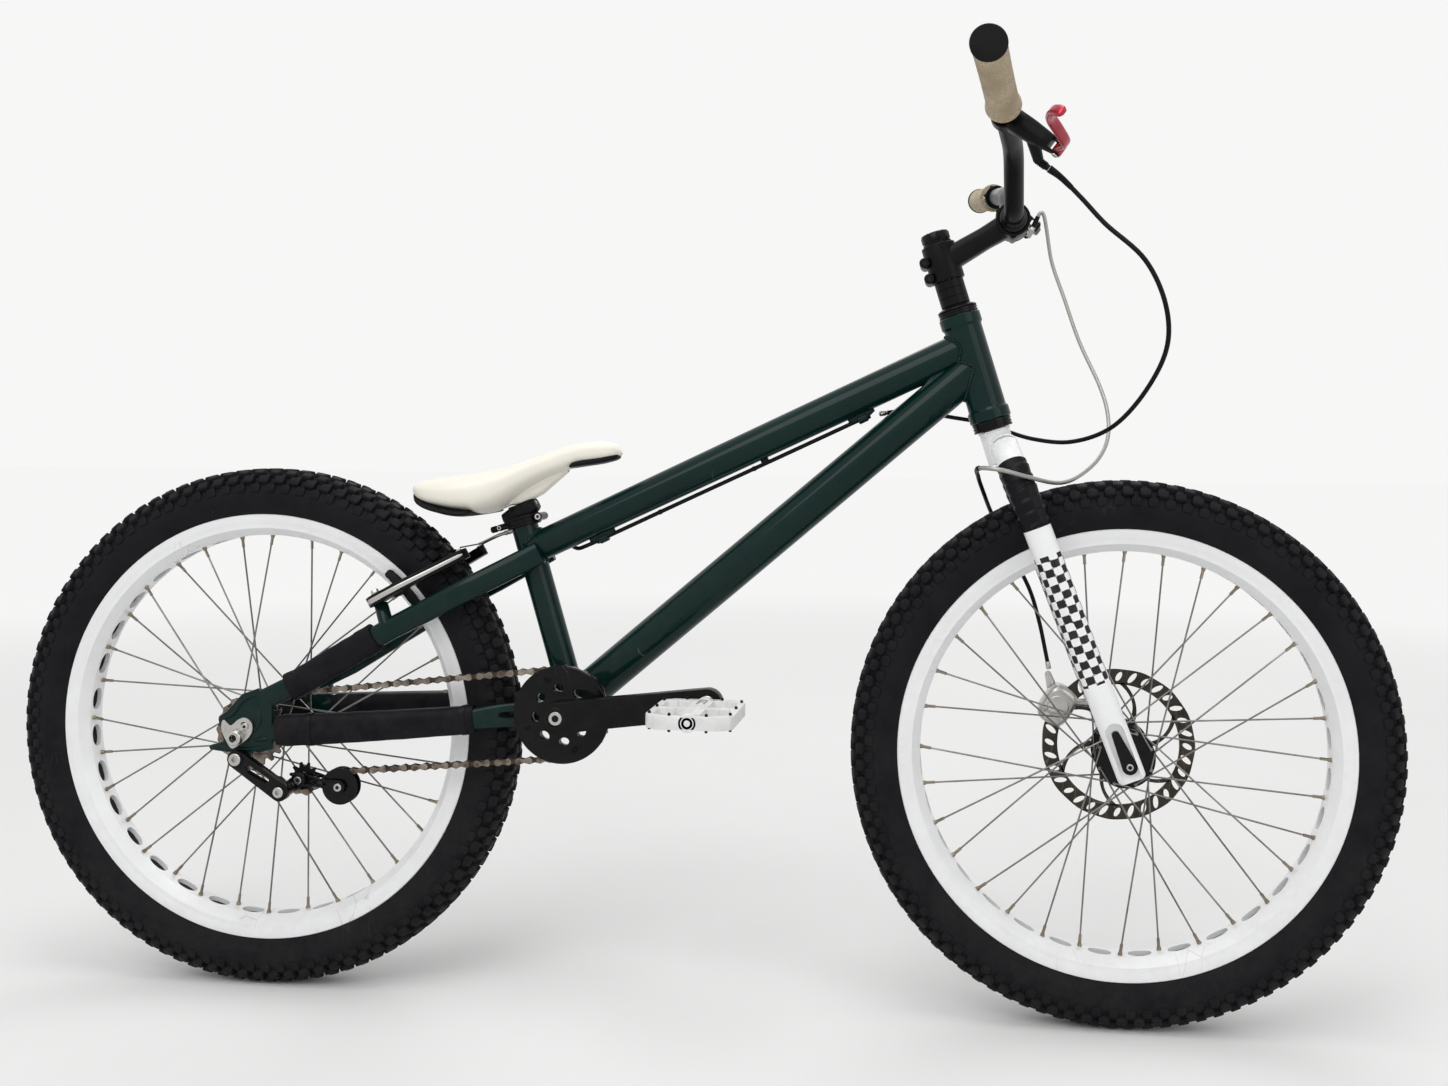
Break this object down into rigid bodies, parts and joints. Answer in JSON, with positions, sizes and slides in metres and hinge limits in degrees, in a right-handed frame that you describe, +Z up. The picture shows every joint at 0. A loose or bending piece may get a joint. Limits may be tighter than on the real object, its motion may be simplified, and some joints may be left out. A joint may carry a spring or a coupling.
{
  "type": "trials bike",
  "caption": "Low-framed trials bicycle with a tiny saddle, wide riser bars, spoked wheels, knobbly tyres, front disc brake and rear rim brake.",
  "frame": {"origin": "on the ground, midway between the two wheels, in the plane of the wheels", "axes": "+X forward, +Y to the rider's left, +Z up"},
  "size_m": [1.668, 0.737, 1.0453],
  "materials": {
    "green_paint": "deep gloss metallic",
    "black_metal": "satin black",
    "white_paint": "gloss",
    "silver": "brushed",
    "chain_steel": "bronze plated",
    "rotor_steel": "dark coated",
    "tyre": "matt",
    "sleeve_rubber": "matt",
    "cream_foam": "matt ribbed",
    "saddle_cover": "satin",
    "red_metal": "anodised",
    "white_plastic": "satin",
    "cable_black": "satin",
    "cable_grey": "braided"
  },
  "bodies": {
    "frame": {"head_tube": "green_paint", "top_tube": "green_paint", "down_tube": "green_paint", "seat_tube": "green_paint", "bottom_bracket_shell": "green_paint", "chainstay_right": "green_paint", "seatstay_right": "green_paint", "chainstay_sleeve_right": "sleeve_rubber", "chainstay_left": "green_paint", "seatstay_left": "green_paint", "chainstay_sleeve_left": "sleeve_rubber", "seatstay_sleeve_right": "sleeve_rubber", "headset_bearing_lower": "black_metal", "headset_bearing_upper": "black_metal", "seat_clamp": "black_metal", "seat_post": "black_metal", "saddle": "saddle_cover", "bottom_bracket": "black_metal", "rear_axle": "silver", "chain": "chain_steel", "tensioner_arm": "black_metal", "rear_brake_loop": "cable_black", "rear_brake_cable": "cable_black"},
    "steering": {"fork": "white_paint", "front_axle": "black_metal", "headset_cover": "black_metal", "headset_spacers": "black_metal", "stem": "black_metal", "top_cap": "black_metal", "handlebar": "black_metal", "grip_right": "cream_foam", "lever_body_right": "black_metal", "grip_left": "cream_foam", "lever_body_left": "black_metal", "brake_caliper": "silver", "front_brake_cable": "cable_grey"},
    "front_wheel": {"front_tyre": "tyre", "front_rim": "white_paint", "front_hub": "black_metal", "brake_rotor": "rotor_steel"},
    "rear_wheel": {"rear_tyre": "tyre", "rear_rim": "white_paint", "rear_hub": "black_metal"},
    "crank": {"crank_spindle": "silver", "crank_arm_right": "black_metal", "crank_arm_left": "black_metal", "chainring": "black_metal", "bash_guard": "black_metal"},
    "rear_driver": {"rear_sprocket": "silver"},
    "pedal_right": {"pedal_right": "white_plastic"},
    "pedal_left": {"pedal_left": "white_plastic"},
    "tensioner_cage": {"tensioner_cage": "black_metal"},
    "guide_pulley": {"guide_pulley": "black_metal"},
    "tension_pulley": {"tension_pulley": "black_metal"},
    "lever_right": {"lever_blade_right": "red_metal"},
    "lever_left": {"lever_blade_left": "black_metal"},
    "brake_arm_right": {"brake_arm_right": "black_metal"},
    "brake_arm_left": {"brake_arm_left": "black_metal", "brake_noodle": "silver"},
    "caliper_arm": {"caliper_arm": "silver"}
  },
  "joints": [
    {"name": "steer", "type": "hinge", "parent": "frame", "child": "steering", "pos_m": [0.4865, 0, 0.3061], "axis": [-0.3007, 0, 0.9537], "range_deg": [-70, 70], "deforming": ["rear_brake_loop"]},
    {"name": "front_wheel_spin", "type": "hinge", "parent": "steering", "child": "front_wheel", "pos_m": [0.518, 0, 0.316], "axis": [0, 1, 0], "continuous": true},
    {"name": "rear_wheel_spin", "type": "hinge", "parent": "frame", "child": "rear_wheel", "pos_m": [-0.518, 0, 0.316], "axis": [0, 1, 0], "continuous": true},
    {"name": "crank_spin", "type": "hinge", "parent": "frame", "child": "crank", "pos_m": [-0.134, 0, 0.349], "axis": [0, 1, 0], "continuous": true},
    {"name": "driver_spin", "type": "hinge", "parent": "frame", "child": "rear_driver", "pos_m": [-0.518, 0, 0.316], "axis": [0, 1, 0], "continuous": true},
    {"name": "pedal_right_spin", "type": "hinge", "parent": "crank", "child": "pedal_right", "pos_m": [0.04446, -0.139, 0.3725], "axis": [0, 1, 0], "continuous": true},
    {"name": "pedal_left_spin", "type": "hinge", "parent": "crank", "child": "pedal_left", "pos_m": [-0.31246, 0.139, 0.3255], "axis": [0, 1, 0], "continuous": true},
    {"name": "tensioner_swing", "type": "hinge", "parent": "frame", "child": "tensioner_cage", "pos_m": [-0.453, -0.045, 0.262], "axis": [0, 1, 0], "range_deg": [0, 30], "stiffness_Nm_per_rad": 0.6, "springref_deg": -20.05},
    {"name": "guide_pulley_spin", "type": "hinge", "parent": "frame", "child": "guide_pulley", "pos_m": [-0.453, -0.045, 0.262], "axis": [0, 1, 0], "continuous": true},
    {"name": "tension_pulley_spin", "type": "hinge", "parent": "tensioner_cage", "child": "tension_pulley", "pos_m": [-0.406, -0.045, 0.254], "axis": [0, 1, 0], "continuous": true},
    {"name": "lever_right_pull", "type": "hinge", "parent": "steering", "child": "lever_right", "pos_m": [0.42242, -0.2259, 0.96484], "axis": [-0.5869, -0.0554, -0.8078], "range_deg": [0, 20], "stiffness_Nm_per_rad": 0.3, "springref_deg": -28.65},
    {"name": "lever_left_pull", "type": "hinge", "parent": "steering", "child": "lever_left", "pos_m": [0.42242, 0.2259, 0.96484], "axis": [0.5869, -0.0554, 0.8078], "range_deg": [0, 20], "stiffness_Nm_per_rad": 0.3, "springref_deg": -28.65},
    {"name": "brake_arm_right_swing", "type": "hinge", "parent": "frame", "child": "brake_arm_right", "pos_m": [-0.36, -0.05, 0.479], "axis": [-0.4848, 0, 0.8746], "range_deg": [0, 2]},
    {"name": "brake_arm_left_swing", "type": "hinge", "parent": "frame", "child": "brake_arm_left", "pos_m": [-0.36, 0.05, 0.479], "axis": [0.4848, 0, -0.8746], "range_deg": [0, 2]},
    {"name": "caliper_arm_swing", "type": "hinge", "parent": "steering", "child": "caliper_arm", "pos_m": [0.446, 0.0593, 0.361], "axis": [0, 1, 0], "range_deg": [0, 16]}
  ],
  "couplings": [
    {"joint": "driver_spin", "follows": "crank_spin", "ratio": 1.3},
    {"joint": "guide_pulley_spin", "follows": "crank_spin", "ratio": 3.25},
    {"joint": "tension_pulley_spin", "follows": "crank_spin", "ratio": -3.25},
    {"joint": "brake_arm_right_swing", "follows": "lever_right_pull", "ratio": 0.09},
    {"joint": "brake_arm_left_swing", "follows": "lever_right_pull", "ratio": 0.09},
    {"joint": "caliper_arm_swing", "follows": "lever_left_pull", "ratio": 0.75}
  ]
}
